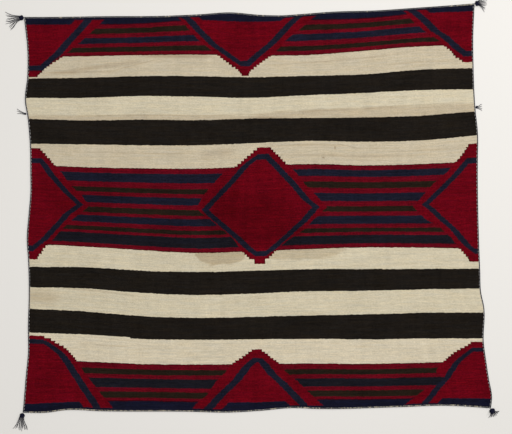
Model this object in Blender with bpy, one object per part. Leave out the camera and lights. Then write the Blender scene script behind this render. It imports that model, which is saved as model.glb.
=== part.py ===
# A wool blanket woven in the third-phase chief pattern, lying flat on a floor.
# Metres, +Z up, floor at Z = 0. The weft runs along X and the warp along Y, with the lower end of
# the pattern at -Y. The origin is on the floor under the middle of the whole piece.

import math
from typing import NamedTuple

import bmesh
import bpy
import numpy as np

MM = 0.001

# The cloth: one thickness of weft-faced weave, with low swells where the weft is packed unevenly.
CLOTH_THICKNESS = 2.3 * MM
SWELL_HEIGHT = 0.35 * MM
COLUMNS = 48
ROWS = 42

# The twined cords laid along the four edges, and the gap that each keeps to the cloth.
CORD_RADIUS = 1.9 * MM
GAP = 0.4 * MM

# The knots of the tassels: how far the top falls to the sides, and how far the sides are tucked.
KNOT_ROUNDNESS = 0.55
KNOT_TUCK = 0.18

# The yarns of the tassels. Each leaves the knot at FAN_START of its own turn and settles on its
# layer over SETTLE_SHARE of its length. The upper layer comes down between the yarns of the lower
# one from DROOP_START to DROOP_END, and is shorter by UPPER_SHORTENING. Lengths differ by up to
# YARN_UNEVENNESS.
YARN_HALF_WIDTH = 0.95 * MM
YARN_TIP_SHARE = 0.72
YARN_SECTIONS = 7
YARN_INSET = 0.16
YARN_UNEVENNESS = 0.16
LAYER_GAP = 0.4 * MM
UPPER_SHORTENING = 0.07
FAN_START = 0.35
FAN_RATE = 1.3
SETTLE_SHARE = 0.25
DROOP_START = 0.5
DROOP_END = 0.9


class Swell(NamedTuple):
    """A low wave in the cloth: half waves across and up, its phase, and its share of the height."""

    across: float
    up: float
    phase: float
    share: float


class EdgeStation(NamedTuple):
    """A point of the cloth's outline: its place along the edge and across it, in millimetres."""

    along: float
    across: float


class Edge(NamedTuple):
    """An edge's stations, into how many runs the cloth divides it, and how far its cord goes past
    the corners at its first and last station, in millimetres. A negative number stops short."""

    stations: tuple
    runs: int
    past_first: float
    past_last: float


class KnotSection(NamedTuple):
    """A section of a tassel's knot: its place along the knot, and its width and height as shares."""

    along: float
    width: float
    height: float


class Tassel(NamedTuple):
    """A tuft of yarns held by a knot. Lengths are in millimetres and angles in degrees."""

    name: str
    x: float
    y: float
    heading: float
    spread: float
    yarn_length: float
    yarns_across: int
    layers: int
    knot_width: float
    knot_length: float
    knot_height: float
    bend: float


# Ridges along the weft, a little aslant, and a broad unevenness across them.
SWELLS = (
    Swell(0.6, 11.0, 0.0, 0.6),
    Swell(5.0, 3.0, 1.3, 0.25),
    Swell(3.0, -4.0, 0.6, 0.15),
)
SWELL_RIM = 3.0

# The left and right edges, from the bottom to the top: along is +Y, across is +X.
LEFT_EDGE = (
    EdgeStation(-735, -842),
    EdgeStation(-618, -831),
    EdgeStation(-544, -823),
    EdgeStation(-444, -823),
    EdgeStation(-351, -820),
    EdgeStation(-189, -823),
    EdgeStation(-137, -827),
    EdgeStation(-26, -820),
    EdgeStation(48, -814),
    EdgeStation(141, -814),
    EdgeStation(248, -816),
    EdgeStation(348, -825),
    EdgeStation(407, -834),
    EdgeStation(507, -825),
    EdgeStation(603, -825),
    EdgeStation(721, -837),
)
RIGHT_EDGE = (
    EdgeStation(-718, 882),
    EdgeStation(-685, 886),
    EdgeStation(-618, 875),
    EdgeStation(-544, 864),
    EdgeStation(-466, 855),
    EdgeStation(-337, 856),
    EdgeStation(-292, 846),
    EdgeStation(-204, 842),
    EdgeStation(-100, 838),
    EdgeStation(48, 834),
    EdgeStation(196, 833),
    EdgeStation(285, 834),
    EdgeStation(392, 824),
    EdgeStation(559, 817),
    EdgeStation(640, 816),
    EdgeStation(771, 821),
)

# The bottom and top edges, from the left to the right: along is +X, across is +Y.
BOTTOM_EDGE = (
    EdgeStation(-842, -735),
    EdgeStation(-764, -735),
    EdgeStation(-683, -725),
    EdgeStation(-561, -729),
    EdgeStation(-228, -731),
    EdgeStation(-87, -734),
    EdgeStation(39, -727),
    EdgeStation(142, -718),
    EdgeStation(253, -721),
    EdgeStation(549, -714),
    EdgeStation(734, -709),
    EdgeStation(794, -712),
    EdgeStation(882, -718),
)
TOP_EDGE = (
    EdgeStation(-837, 721),
    EdgeStation(-764, 721),
    EdgeStation(-524, 724),
    EdgeStation(-339, 725),
    EdgeStation(-191, 731),
    EdgeStation(-80, 738),
    EdgeStation(31, 729),
    EdgeStation(105, 727),
    EdgeStation(198, 733),
    EdgeStation(290, 740),
    EdgeStation(475, 746),
    EdgeStation(605, 755),
    EdgeStation(734, 764),
    EdgeStation(821, 771),
)

# The top cord runs on into the knots of both upper tassels, and the side cords run on into those
# of the lower ones.
EDGES = {
    "left": Edge(LEFT_EDGE, ROWS, 5, -1),
    "right": Edge(RIGHT_EDGE, ROWS, 5, -1),
    "bottom": Edge(BOTTOM_EDGE, COLUMNS, -1, -1),
    "top": Edge(TOP_EDGE, COLUMNS, 5, 5),
}

# A knot is narrow where the cords enter it, full in the middle and drawn in before the yarns.
KNOT_SECTIONS = (
    KnotSection(0.0, 0.42, 0.55),
    KnotSection(0.2, 0.82, 0.88),
    KnotSection(0.45, 1.0, 1.0),
    KnotSection(0.72, 0.9, 0.8),
    KnotSection(1.0, 1.0, 0.66),
)

# The four corner tassels, then the short tails tied on the two side cords.
TASSELS = (
    Tassel("tassel_top_left", -842.5, 723, 188, 66, 52, 7, 2, 20, 17, 8.0, 8),
    Tassel("tassel_top_right", 826.6, 774, 8, 110, 30, 7, 2, 20, 15, 8.0, -12),
    Tassel("tassel_bottom_left", -845.5, -740.8, -106, 48, 48, 7, 2, 20, 17, 8.0, 12),
    Tassel("tassel_bottom_right", 885.6, -723.6, -62, 120, 13, 7, 2, 23, 20, 11.0, 0),
    Tassel("tail_left", -832.8, 366, 168, 24, 30, 3, 1, 8, 8, 4.4, -8),
    Tassel("tail_right", 828.9, 392, -8, 60, 18, 4, 1, 11, 8, 4.4, 12),
)

# Finishes.
CLOTH_COLOUR = (0.11, 0.004, 0.008, 1.0)
CORD_COLOUR = (0.012, 0.015, 0.028, 1.0)
WOOL_ROUGHNESS = 0.9


def clear_scene():
    """Removes whatever the scene holds."""
    for obj in list(bpy.data.objects):
        bpy.data.objects.remove(obj)


def wool(name, colour):
    """A matt wool finish."""
    material = bpy.data.materials.new(name)
    material.use_nodes = True
    shader = material.node_tree.nodes["Principled BSDF"]
    shader.inputs["Base Color"].default_value = colour
    shader.inputs["Roughness"].default_value = WOOL_ROUGHNESS
    shader.inputs["Metallic"].default_value = 0.0
    return material


def smooth_edge(stations, along):
    """The edge's place across, in metres, at each value of along: a cubic with matched slopes."""
    at = np.array([station.along for station in stations]) * MM
    across = np.array([station.across for station in stations]) * MM
    slope = np.gradient(across, at)
    index = np.clip(np.searchsorted(at, along, side="right") - 1, 0, len(at) - 2)
    step = at[index + 1] - at[index]
    t = (along - at[index]) / step
    return (
        (2 * t**3 - 3 * t**2 + 1) * across[index]
        + (t**3 - 2 * t**2 + t) * step * slope[index]
        + (3 * t**2 - 2 * t**3) * across[index + 1]
        + (t**3 - t**2) * step * slope[index + 1]
    )


def between(stations, share):
    """The value of along at each share of the way from an edge's first station to its last."""
    first = stations[0].along * MM
    last = stations[-1].along * MM
    return first + (last - first) * share


def cloth_points(weft_share, warp_share):
    """X and Y of the cloth at shares of the way across (from the left) and up (from the bottom)."""
    left = smooth_edge(LEFT_EDGE, between(LEFT_EDGE, warp_share))
    right = smooth_edge(RIGHT_EDGE, between(RIGHT_EDGE, warp_share))
    bottom = smooth_edge(BOTTOM_EDGE, between(BOTTOM_EDGE, weft_share))
    top = smooth_edge(TOP_EDGE, between(TOP_EDGE, weft_share))
    return left + (right - left) * weft_share, bottom + (top - bottom) * warp_share


def swell(weft_share, warp_share):
    """Height of the low swells over the cloth: a sum of waves that dies out at its edges."""
    rim = np.sin(math.pi * weft_share) * np.sin(math.pi * warp_share)
    height = np.zeros_like(rim)
    for wave in SWELLS:
        turn = math.pi * (wave.across * weft_share + wave.up * warp_share) + wave.phase
        height += wave.share * np.sin(turn)
    return SWELL_HEIGHT * np.minimum(1.0, SWELL_RIM * rim) * height


def add_object(name, mesh, material):
    """Puts a mesh into the scene under a name, shaded smooth."""
    mesh.materials.append(material)
    mesh.shade_smooth()
    mesh.set_sharp_from_angle(angle=math.radians(40))
    obj = bpy.data.objects.new(name, mesh)
    bpy.context.scene.collection.objects.link(obj)
    return obj


def rim_indices(columns, rows):
    """Grid indices round the rim, anticlockwise from the bottom left corner."""
    across = columns + 1
    bottom = [i for i in range(columns)]
    right = [j * across + columns for j in range(rows)]
    top = [rows * across + i for i in range(columns, 0, -1)]
    left = [j * across for j in range(rows, 0, -1)]
    return bottom + right + top + left


def build_cloth(material):
    """The cloth: a swelling upper face, upright sides and one flat underside."""
    weft_share, warp_share = np.meshgrid(
        np.linspace(0, 1, COLUMNS + 1), np.linspace(0, 1, ROWS + 1)
    )
    x, y = cloth_points(weft_share, warp_share)
    z = CLOTH_THICKNESS + swell(weft_share, warp_share)
    bm = bmesh.new()
    upper = [bm.verts.new(point) for point in zip(x.flat, y.flat, z.flat)]
    across = COLUMNS + 1
    for j in range(ROWS):
        for i in range(COLUMNS):
            a = j * across + i
            bm.faces.new((upper[a], upper[a + 1], upper[a + across + 1], upper[a + across]))
    rim = [upper[index] for index in rim_indices(COLUMNS, ROWS)]
    lower = [bm.verts.new((vert.co.x, vert.co.y, 0.0)) for vert in rim]
    for here in range(len(rim)):
        after = (here + 1) % len(rim)
        bm.faces.new((rim[after], rim[here], lower[here], lower[after]))
    bm.faces.new(lower[::-1])
    mesh = bpy.data.meshes.new("cloth")
    bm.to_mesh(mesh)
    bm.free()
    return add_object("blanket", mesh, material)


def edge_line(edge, share):
    """X, Y of one edge at shares along it, and the unit direction that points out of the cloth."""
    zero = np.zeros_like(share)
    one = np.ones_like(share)
    shares = {
        "left": (zero, share),
        "right": (one, share),
        "bottom": (share, zero),
        "top": (share, one),
    }[edge]
    x, y = cloth_points(*shares)
    run_x = np.gradient(x)
    run_y = np.gradient(y)
    length = np.hypot(run_x, run_y)
    side = 1 if edge in ("right", "bottom") else -1
    return x, y, side * run_y / length, -side * run_x / length


def build_edge_cord(name, edge, material):
    """A cord laid on the floor along one edge of the cloth, with a point beside each rim point."""
    count = EDGES[edge].runs
    x, y, out_x, out_y = edge_line(edge, np.linspace(0, 1, count + 1))
    path = np.stack([x + out_x * (CORD_RADIUS + GAP), y + out_y * (CORD_RADIUS + GAP)], axis=1)
    first_run = path[1] - path[0]
    last_run = path[-1] - path[-2]
    path[0] -= first_run / np.linalg.norm(first_run) * EDGES[edge].past_first * MM
    path[-1] += last_run / np.linalg.norm(last_run) * EDGES[edge].past_last * MM
    curve = bpy.data.curves.new(name, "CURVE")
    curve.dimensions = "3D"
    curve.bevel_depth = CORD_RADIUS
    curve.bevel_resolution = 2
    curve.use_fill_caps = True
    spline = curve.splines.new("POLY")
    spline.points.add(count)
    points = np.column_stack([path, np.full_like(x, CORD_RADIUS), np.ones_like(x)])
    spline.points.foreach_set("co", points.ravel())
    curve.materials.append(material)
    obj = bpy.data.objects.new(name, curve)
    bpy.context.scene.collection.objects.link(obj)
    return obj


def knot_grid(tassel):
    """Points of the knot, indexed by section, by place across and by layer, before it is turned."""
    across = np.linspace(-1, 1, tassel.yarns_across + 1)
    up = np.linspace(0, 1, tassel.layers + 1)
    along = np.array([section.along for section in KNOT_SECTIONS]) * tassel.knot_length * MM
    width = np.array([section.width for section in KNOT_SECTIONS]) * tassel.knot_width * MM
    height = np.array([section.height for section in KNOT_SECTIONS]) * tassel.knot_height * MM
    points = np.empty((len(along), len(across), len(up), 3))
    round_top = np.sqrt(1 - KNOT_ROUNDNESS * across**2)[None, :, None]
    tuck = 1 - KNOT_TUCK * (2 * up - 1)[None, None, :] ** 2
    points[..., 0] = along[:, None, None]
    points[..., 1] = width[:, None, None] / 2 * across[None, :, None] * tuck
    points[..., 2] = height[:, None, None] * up[None, None, :] * round_top
    return points


def yarn_path(tassel, start, index, layer):
    """Centre points of one yarn, in the knot's own frame, from the knot's mouth to its tip."""
    step = tassel.spread / max(1, tassel.yarns_across - 1)
    turn = math.radians(tassel.spread * -0.5 + step * (index + 0.5 * layer))
    uneven = 1 - YARN_UNEVENNESS * math.sin(2.3 * index + 1.7 * layer) ** 2
    length = tassel.yarn_length * MM * uneven * (1 - UPPER_SHORTENING * layer)
    share = np.linspace(0, 1, YARN_SECTIONS + 1)
    fan = turn * np.minimum(1.0, FAN_START + FAN_RATE * share)
    curl = math.radians(tassel.bend) * np.sin(math.pi * share)
    angle = fan + curl
    run = np.diff(share, prepend=0.0) * length
    x = start[0] + np.cumsum(run * np.cos(angle))
    y = start[1] + np.cumsum(run * np.sin(angle))
    half = YARN_HALF_WIDTH * (1 - (1 - YARN_TIP_SHARE) * share)
    droop = np.clip((share - DROOP_START) / (DROOP_END - DROOP_START), 0, 1)
    level = layer * (1 - droop) * (2 * YARN_HALF_WIDTH + LAYER_GAP)
    settle = np.minimum(1.0, share / SETTLE_SHARE)
    z = start[2] * (1 - settle) + (half + level) * settle
    return np.stack([x, y, z], axis=1), angle, half


def add_yarn(bm, corners, tassel, index, layer):
    """Draws one yarn out of a cell of the knot's mouth: an inset ring, square rings and a tip."""
    centre = sum((vert.co for vert in corners), corners[0].co * 0) / 4
    ring = [bm.verts.new(vert.co.lerp(centre, YARN_INSET)) for vert in corners]
    rings = [corners, ring]
    path, angle, half = yarn_path(tassel, centre, index, layer)
    for point, turn, size in zip(path[1:], angle[1:], half[1:]):
        side = np.array([-math.sin(turn), math.cos(turn), 0.0]) * size
        up = np.array([0.0, 0.0, size])
        places = (point - side - up, point + side - up, point + side + up, point - side + up)
        rings.append([bm.verts.new(place) for place in places])
    for near, far in zip(rings, rings[1:]):
        for k in range(4):
            n = (k + 1) % 4
            bm.faces.new((near[k], near[n], far[n], far[k]))
    bm.faces.new(rings[-1])


def build_tassel(tassel, material):
    """A knot with its yarns drawn out of its mouth, turned to its heading and set on the floor."""
    points = knot_grid(tassel)
    sections, across, levels = points.shape[:3]
    bm = bmesh.new()
    verts = {}
    for s in range(sections):
        for i in range(across):
            for k in range(levels):
                inside = 0 < s < sections - 1 and 0 < i < across - 1 and 0 < k < levels - 1
                if not inside:
                    verts[s, i, k] = bm.verts.new(points[s, i, k])
    last = (sections - 1, across - 1, levels - 1)
    for i in range(last[1]):
        for k in range(last[2]):
            bm.faces.new((verts[0, i, k], verts[0, i, k + 1], verts[0, i + 1, k + 1], verts[0, i + 1, k]))
            mouth = [(i, k), (i + 1, k), (i + 1, k + 1), (i, k + 1)]
            add_yarn(bm, [verts[last[0], a, b] for a, b in mouth], tassel, i, k)
    for s in range(last[0]):
        for i in range(last[1]):
            for k in (0, last[2]):
                bm.faces.new((verts[s, i, k], verts[s + 1, i, k], verts[s + 1, i + 1, k], verts[s, i + 1, k]))
        for k in range(last[2]):
            for i in (0, last[1]):
                bm.faces.new((verts[s, i, k], verts[s + 1, i, k], verts[s + 1, i, k + 1], verts[s, i, k + 1]))
    bmesh.ops.recalc_face_normals(bm, faces=bm.faces)
    mesh = bpy.data.meshes.new(tassel.name)
    bm.to_mesh(mesh)
    bm.free()
    obj = add_object(tassel.name, mesh, material)
    obj.location = (tassel.x * MM, tassel.y * MM, 0.0)
    obj.rotation_euler = (0.0, 0.0, math.radians(tassel.heading))
    return obj


def main():
    """Builds the cloth, its edge cords, its corner tassels and the tails on its side cords."""
    clear_scene()
    cloth = wool("woven wool", CLOTH_COLOUR)
    indigo = wool("indigo yarn", CORD_COLOUR)
    build_cloth(cloth)
    build_edge_cord("end_cord_top", "top", indigo)
    build_edge_cord("end_cord_bottom", "bottom", indigo)
    build_edge_cord("side_cord_left", "left", indigo)
    build_edge_cord("side_cord_right", "right", indigo)
    for tassel in TASSELS:
        build_tassel(tassel, indigo)


main()
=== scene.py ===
"""Renders a handwoven wool blanket rug that lies flat on a pale studio floor, seen from above.

The blanket is a weft-faced tapestry in a traditional layout: cream and brown-black bands, three
crimson bands with thin indigo and brown stripes, and nine stepped diamonds, halves and quarters of
diamonds with indigo outlines. Twined indigo cords edge it and end in tassels at the corners.

Woven places are in millimetres: U runs across from the left selvage and V up from the bottom end.
Lengths on objects are in metres, with the floor at Z = 0.
"""

import logging
import math
from dataclasses import dataclass, field
from enum import Enum
from typing import Iterable, Mapping, Sequence

import bpy
import numpy as np
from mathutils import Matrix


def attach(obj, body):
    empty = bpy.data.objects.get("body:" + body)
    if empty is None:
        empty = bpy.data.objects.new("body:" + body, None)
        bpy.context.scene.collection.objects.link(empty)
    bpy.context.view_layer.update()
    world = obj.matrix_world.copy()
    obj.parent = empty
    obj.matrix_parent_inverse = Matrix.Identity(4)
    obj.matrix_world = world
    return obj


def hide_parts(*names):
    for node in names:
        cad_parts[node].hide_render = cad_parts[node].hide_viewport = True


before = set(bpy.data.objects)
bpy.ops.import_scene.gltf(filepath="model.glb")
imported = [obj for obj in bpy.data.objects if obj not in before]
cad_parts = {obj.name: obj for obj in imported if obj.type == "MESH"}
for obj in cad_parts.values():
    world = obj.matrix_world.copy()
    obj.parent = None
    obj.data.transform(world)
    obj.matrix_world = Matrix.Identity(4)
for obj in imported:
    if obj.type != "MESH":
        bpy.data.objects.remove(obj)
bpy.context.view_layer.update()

logging.basicConfig(level=logging.INFO, format="%(levelname)s %(message)s")
LOG = logging.getLogger("rug")

MM = 0.001

# The cloth's even size, as if every row and every warp were straight.
WEFT_LENGTH = 1670.0
WARP_LENGTH = 1462.0


class Yarn(Enum):
    """Colours of the dyed and natural wool, as sRGB hex."""

    LIGHT_CREAM = "#cbc0a6"
    CREAM = "#cfc3aa"
    DULL_CREAM = "#c2b59c"
    BLACK = "#1c1814"
    CRIMSON = "#5f0411"
    STRIPE_RED = "#5c0715"
    INDIGO = "#181926"
    SLATE = "#17161c"
    NAVY = "#131424"
    BROWN = "#211912"


class Side(Enum):
    """The four edges of the cloth."""

    LEFT = "left"
    RIGHT = "right"
    BOTTOM = "bottom"
    TOP = "top"


def linear(hex_colour: str) -> tuple[float, float, float, float]:
    """Turns an sRGB colour into the linear one that a shader takes.

    Args:
        hex_colour: a colour such as "#c8b496".

    Returns:
        Linear red, green and blue, and an alpha of one.
    """
    shares = [int(hex_colour[k : k + 2], 16) / 255 for k in (1, 3, 5)]
    parts = [s / 12.92 if s <= 0.04045 else ((s + 0.055) / 1.055) ** 2.4 for s in shares]
    return (*parts, 1.0)


def add(
    tree: bpy.types.NodeTree,
    kind: str,
    inputs: Mapping[int | str, object] | None = None,
    out: int | str = 0,
    **settings: object,
) -> bpy.types.NodeSocket:
    """Adds one shader node with its options, its constants and its links.

    Args:
        tree: the material's node tree.
        kind: the node's type, without its leading "ShaderNode".
        inputs: a constant or a socket for each input, by its name or place.
        out: the name or place of the output to return.
        settings: options of the node, such as its operation.

    Returns:
        The output socket.
    """
    node = tree.nodes.new("ShaderNode" + kind)
    for name, value in settings.items():
        setattr(node, name, value)
    for key, value in (inputs or {}).items():
        if isinstance(value, bpy.types.NodeSocket):
            tree.links.new(value, node.inputs[key])
        else:
            node.inputs[key].default_value = value
    return node.outputs[out]


def smooth_line(at: Sequence[float], value: Sequence[float], where: np.ndarray) -> np.ndarray:
    """Reads a smooth line through stations: a cubic in each gap, with slopes from the neighbours.

    Args:
        at: the stations' places, ascending.
        value: the line's value at each station.
        where: the places to read.

    Returns:
        The line's values there.
    """
    at = np.asarray(at, float)
    value = np.asarray(value, float)
    slope = np.gradient(value, at)
    index = np.clip(np.searchsorted(at, where, side="right") - 1, 0, len(at) - 2)
    gap = at[index + 1] - at[index]
    t = (where - at[index]) / gap
    return (
        (2 * t**3 - 3 * t**2 + 1) * value[index]
        + (t**3 - 2 * t**2 + t) * gap * slope[index]
        + (3 * t**2 - 2 * t**3) * value[index + 1]
        + (t**3 - t**2) * gap * slope[index + 1]
    )


@dataclass(frozen=True)
class Outline:
    """One edge of the cloth: stations along it, and how far out it stands at each, in mm."""

    along: tuple[float, ...]
    across: tuple[float, ...]

    def read(self, share: np.ndarray) -> np.ndarray:
        """Reads the edge.

        Args:
            share: shares of the way from its first station to its last.

        Returns:
            Its places across, in millimetres.
        """
        where = self.along[0] + (self.along[-1] - self.along[0]) * share
        return smooth_line(self.along, self.across, where)


@dataclass(frozen=True)
class WeftRow:
    """A row that wanders: its even place V, and its real heights Y at stations across, in mm."""

    place: float
    heights: tuple[float, ...]


LEFT_OUTLINE = Outline(
    (-735, -618, -544, -444, -351, -189, -137, -26, 48, 141, 248, 348, 407, 507, 603, 721),
    (
        -842, -831, -823, -823, -820, -823, -827, -820, -814, -814, -816, -825, -834, -825,
        -825, -837,
    ),
)
RIGHT_OUTLINE = Outline(
    (-718, -685, -618, -544, -466, -337, -292, -204, -100, 48, 196, 285, 392, 559, 640, 771),
    (882, 886, 875, 864, 855, 856, 846, 842, 838, 834, 833, 834, 824, 817, 816, 821),
)
BOTTOM_OUTLINE = Outline(
    (-842, -764, -683, -561, -228, -87, 39, 142, 253, 549, 734, 794, 882),
    (-735, -735, -725, -729, -731, -734, -727, -718, -721, -714, -709, -712, -718),
)
TOP_OUTLINE = Outline(
    (-837, -764, -524, -339, -191, -80, 31, 105, 198, 290, 475, 605, 734, 821),
    (721, 721, 724, 725, 731, 738, 729, 727, 733, 740, 746, 755, 764, 771),
)

# Real heights of the rows where the colours change, at nine even stations across.
WEFT_ROWS = (
    WeftRow(30, (-707, -698, -696, -700, -700, -691, -690, -686, -686)),
    WeftRow(169, (-546, -551, -560, -562, -560, -558, -559, -554, -548)),
    WeftRow(263, (-446, -453, -465, -467, -466, -464, -466, -463, -463)),
    WeftRow(350, (-355, -366, -383, -389, -385, -380, -376, -370, -370)),
    WeftRow(438, (-273, -278, -294, -302, -296, -288, -286, -281, -278)),
    WeftRow(515, (-201, -202, -215, -219, -215, -209, -209, -208, -207)),
    WeftRow(594, (-113, -123, -136, -147, -140, -132, -126, -127, -130)),
    WeftRow(900, (178, 169, 165, 164, 172, 181, 176, 181, 191)),
    WeftRow(988, (257, 255, 252, 252, 260, 268, 265, 270, 289)),
    WeftRow(1076, (348, 342, 345, 343, 349, 351, 353, 359, 376)),
    WeftRow(1164, (428, 428, 435, 433, 428, 438, 446, 457, 460)),
    WeftRow(1235, (497, 500, 506, 506, 502, 507, 512, 529, 536)),
    WeftRow(1318, (578, 581, 585, 587, 584, 585, 600, 617, 623)),
    WeftRow(1438, (696, 697, 701, 713, 707, 714, 720, 738, 746)),
)


class WovenFrame:
    """Where the warps and wefts really run, since neither is quite straight in a hand weave."""

    def points(self, weft: np.ndarray, warp: np.ndarray) -> tuple[np.ndarray, np.ndarray]:
        """Places a grid of woven places on the floor.

        X lies between the two side outlines in proportion to U. Y follows the wandering rows, each
        a smooth line across, and goes in proportion to V between one row and the next.

        Args:
            weft: U of each column, in millimetres.
            warp: V of each row, in millimetres.

        Returns:
            X and Y in metres, with a row for each V and a column for each U.
        """
        across = weft / WEFT_LENGTH
        up = warp / WARP_LENGTH
        left = LEFT_OUTLINE.read(up)[:, None]
        right = RIGHT_OUTLINE.read(up)[:, None]
        x = left + (right - left) * across[None, :]
        stations = np.linspace(0, 1, len(WEFT_ROWS[0].heights))
        heights = np.array(
            [BOTTOM_OUTLINE.read(across)]
            + [smooth_line(stations, row.heights, across) for row in WEFT_ROWS]
            + [TOP_OUTLINE.read(across)]
        )
        places = np.array([0.0] + [row.place for row in WEFT_ROWS] + [WARP_LENGTH])
        index = np.clip(np.searchsorted(places, warp, side="right") - 1, 0, len(places) - 2)
        share = ((warp - places[index]) / (places[index + 1] - places[index]))[:, None]
        y = heights[index] * (1 - share) + heights[index + 1] * share
        return x * MM, y * MM

    def edge(self, side: Side, share: np.ndarray) -> tuple[np.ndarray, np.ndarray]:
        """Follows one edge of the cloth.

        Args:
            side: which edge.
            share: shares of the way along it, from the left or from the bottom.

        Returns:
            Points in metres, and unit vectors that point out of the cloth.
        """
        if side in (Side.LEFT, Side.RIGHT):
            column = np.array([0.0 if side is Side.LEFT else WEFT_LENGTH])
            x, y = self.points(column, share * WARP_LENGTH)
        else:
            row = np.array([0.0 if side is Side.BOTTOM else WARP_LENGTH])
            x, y = self.points(share * WEFT_LENGTH, row)
        path = np.stack([x.ravel(), y.ravel()], axis=1)
        run = np.gradient(path, axis=0)
        run /= np.linalg.norm(run, axis=1, keepdims=True)
        turn = 1.0 if side in (Side.RIGHT, Side.BOTTOM) else -1.0
        return path, turn * np.stack([run[:, 1], -run[:, 0]], axis=1)


@dataclass(frozen=True)
class Band:
    """A band across the whole cloth: the V of its upper edge, and its wool."""

    upper: float
    yarn: Yarn


# From the bottom end to the top end.
BANDS = (
    Band(170, Yarn.STRIPE_RED),
    Band(261, Yarn.CREAM),
    Band(351, Yarn.BLACK),
    Band(436, Yarn.LIGHT_CREAM),
    Band(516, Yarn.BLACK),
    Band(592, Yarn.LIGHT_CREAM),
    Band(900, Yarn.STRIPE_RED),
    Band(986, Yarn.DULL_CREAM),
    Band(1076, Yarn.BLACK),
    Band(1161, Yarn.LIGHT_CREAM),
    Band(1235, Yarn.BLACK),
    Band(1316, Yarn.DULL_CREAM),
    Band(1462, Yarn.STRIPE_RED),
)

# The indigo bands at the two ends: V where they begin, and V beyond which nothing breaks them.
END_BAND_LOW = 30.0
END_BAND_HIGH = 1438.0
END_ROWS_LOW = 7.5
END_ROWS_HIGH = 1454.0


@dataclass(frozen=True)
class Stripe:
    """A thin stripe in a crimson band: its upper and lower edge as shares of the band from its top.

    The shares differ between the left and the right half of the cloth.
    """

    yarn: Yarn
    left: tuple[float, float]
    right: tuple[float, float]


@dataclass(frozen=True)
class Flank:
    """The slanted side of a motif, as pairs of V and U in mm, from the lower end to the upper.

    border is where its crimson border ends and line is the outer edge of its indigo outline, whose
    width across is line_width. inside_right tells that the motif lies on the right of the flank.
    """

    border: tuple[tuple[float, float], ...]
    line: tuple[tuple[float, float], ...]
    line_width: float
    inside_right: bool


@dataclass(frozen=True)
class CrimsonBand:
    """A crimson band with its stripes and the flanks of its three motifs, from left to right.

    low and high bound it in V with the motifs' tips. step_rise is the height of a step in the
    motifs' edges, and line_rise the height of an outline where it runs level at a tip.
    """

    low: float
    high: float
    stripes_low: float
    stripes_high: float
    step_rise: float
    line_rise: float
    stripes: tuple[Stripe, ...]
    flanks: tuple[Flank, ...]


TOP_BAND = CrimsonBand(
    low=1236,
    high=1470,
    stripes_low=1316,
    stripes_high=1438,
    step_rise=8.0,
    line_rise=18.0,
    stripes=(
        Stripe(Yarn.BROWN, (0.14, 0.30), (0.14, 0.29)),
        Stripe(Yarn.INDIGO, (0.43, 0.61), (0.40, 0.59)),
        Stripe(Yarn.BROWN, (0.73, 0.88), (0.74, 0.87)),
    ),
    flanks=(
        Flank(
            ((1243, 32), (1271, 60), (1296, 94), (1315, 124), (1344, 160), (1380, 207),
             (1418, 252), (1470, 310)),
            ((1264, 52), (1304, 96), (1327, 125), (1362, 157), (1470, 266)),
            33, False,
        ),
        Flank(
            ((1243, 800), (1257, 790), (1318, 706), (1341, 676), (1372, 635), (1408, 603),
             (1470, 555)),
            ((1277, 796), (1306, 750), (1355, 676), (1411, 618), (1470, 566)),
            31, True,
        ),
        Flank(
            ((1243, 826), (1259, 834), (1319, 916), (1344, 943), (1380, 981), (1413, 1030),
             (1470, 1102)),
            ((1277, 833), (1308, 864), (1358, 928), (1416, 989), (1470, 1050)),
            31, False,
        ),
        Flank(
            ((1257, 1635), (1276, 1605), (1297, 1587), (1315, 1562), (1334, 1546), (1373, 1488),
             (1408, 1446), (1470, 1396)),
            ((1277, 1635), (1315, 1587), (1348, 1549), (1372, 1511), (1410, 1472), (1470, 1403)),
            34, True,
        ),
    ),
)

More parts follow.
